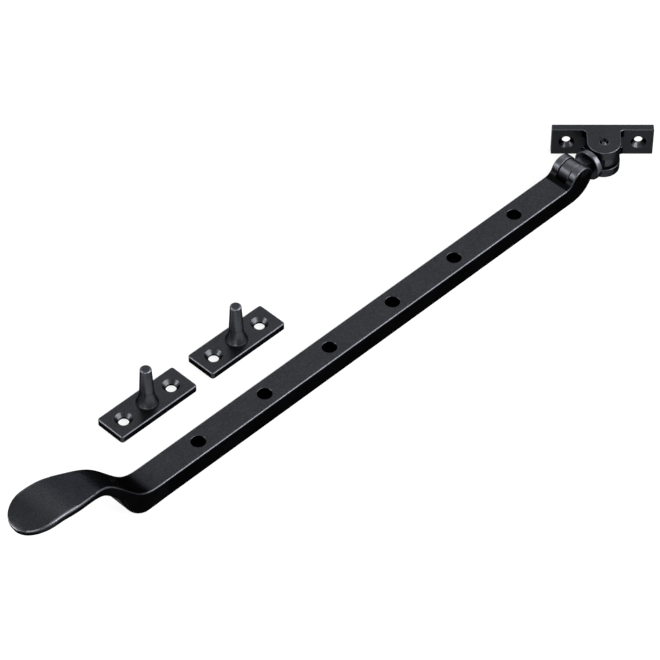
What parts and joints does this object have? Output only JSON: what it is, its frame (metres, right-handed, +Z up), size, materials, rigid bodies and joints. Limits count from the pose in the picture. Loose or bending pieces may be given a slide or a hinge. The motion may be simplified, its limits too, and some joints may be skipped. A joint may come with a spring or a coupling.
{
  "type": "casement window stay",
  "caption": "Black casement window stay: a holed bar arm with a raised paddle handle, hinged by a swivel link to a screw-on bracket, with loose peg plates.",
  "frame": {"origin": "centre of the mounting bracket's back face", "axes": "+Y out of the bracket's back face, into the window; +Z up; the arm lies towards -X and -Y"},
  "size_m": [0.257, 0.2463, 0.0365],
  "materials": {
    "black_coat": "satin black coat with a fine even grain, a little worn bright on the edges",
    "pin_black": "satin black coat over a riveted pin"
  },
  "bodies": {
    "arm": {"stay_arm": "black_coat", "tilt_pin": "pin_black"},
    "link": {"swivel_link": "black_coat"},
    "bracket": {"mounting_bracket": "black_coat", "swivel_pin": "pin_black"},
    "peg_1": {"peg_plate_1": "black_coat", "peg_stud_1": "black_coat"},
    "peg_2": {"peg_plate_2": "black_coat", "peg_stud_2": "black_coat"}
  },
  "joints": [
    {"name": "tilt", "type": "hinge", "parent": "arm", "child": "link", "pos_m": [-0.01435, -0.02525, 0.0022], "axis": [0.7071, -0.7071, 0], "range_deg": [-85, 100]},
    {"name": "swivel", "type": "hinge", "parent": "link", "child": "bracket", "pos_m": [0, -0.0109, 0], "axis": [0, 0, 1], "range_deg": [-135, 45]},
    {"name": "peg_1_lift", "type": "slide", "parent": "arm", "child": "peg_1", "axis": [0, 0, 1], "range_m": [0, 0.05]},
    {"name": "peg_2_lift", "type": "slide", "parent": "arm", "child": "peg_2", "axis": [0, 0, 1], "range_m": [0, 0.05]}
  ]
}
